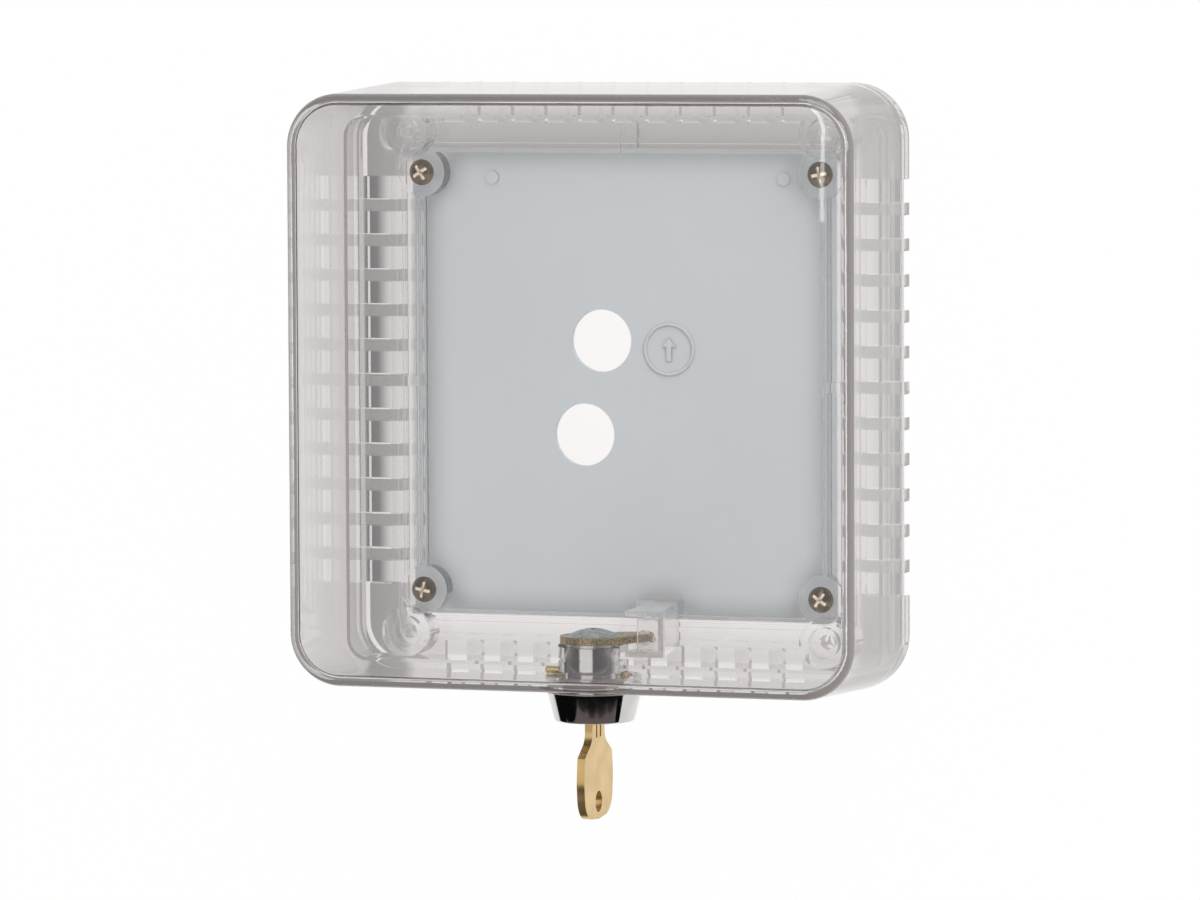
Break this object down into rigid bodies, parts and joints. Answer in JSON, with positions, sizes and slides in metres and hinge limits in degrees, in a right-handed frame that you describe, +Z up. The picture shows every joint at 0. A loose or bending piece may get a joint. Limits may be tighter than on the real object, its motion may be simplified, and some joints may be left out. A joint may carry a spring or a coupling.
{
  "type": "thermostat lock box",
  "caption": "Clear vented wall box that locks over a room thermostat, with a swing-up cover and a key cam lock in its lower wall.",
  "frame": {"origin": "middle of the wall face, on the back of the wall plate", "axes": "+Y into the wall and the front towards -Y, +X to the right as seen from the front, +Z up"},
  "size_m": [0.168, 0.0575, 0.2089],
  "materials": {
    "clear_plastic": "clear moulded polycarbonate",
    "plate_plastic": "pale blue-grey, satin",
    "yellow_zinc": "yellow zinc plating on steel",
    "lock_chrome": "polished chrome plating",
    "clip_brass": "stamped sheet brass",
    "lock_brass": "turned brass",
    "spring_steel": "plain steel",
    "key_brass": "worn key brass"
  },
  "bodies": {
    "base": {"ring_base": "clear_plastic", "cam_catch": "clear_plastic", "wall_plate": "plate_plastic", "base_screws": "yellow_zinc"},
    "cover": {"cover_shell": "clear_plastic", "lock_housing": "lock_chrome", "lock_collar": "lock_chrome", "retaining_clip": "clip_brass"},
    "plug": {"lock_plug": "lock_brass", "wafer_1": "lock_brass", "wafer_2": "lock_brass", "wafer_3": "lock_brass", "wafer_4": "lock_brass", "wafer_5": "lock_brass", "retainer_wafer": "lock_brass", "wafer_springs": "spring_steel", "stop_washer": "spring_steel", "cam": "yellow_zinc", "cam_screw": "spring_steel"},
    "key": {"key": "key_brass"}
  },
  "joints": [
    {"name": "cover_swing", "type": "hinge", "parent": "base", "child": "cover", "pos_m": [0, -0.0055, 0.0865], "axis": [-1, 0, 0], "range_deg": [0, 70]},
    {"name": "cam_turn", "type": "hinge", "parent": "cover", "child": "plug", "pos_m": [0, -0.032, -0.08], "axis": [0, 0, 1], "range_deg": [-45, 45]},
    {"name": "key_pull", "type": "slide", "parent": "plug", "child": "key", "axis": [0, 0, -1], "range_m": [0, 0.03]}
  ]
}
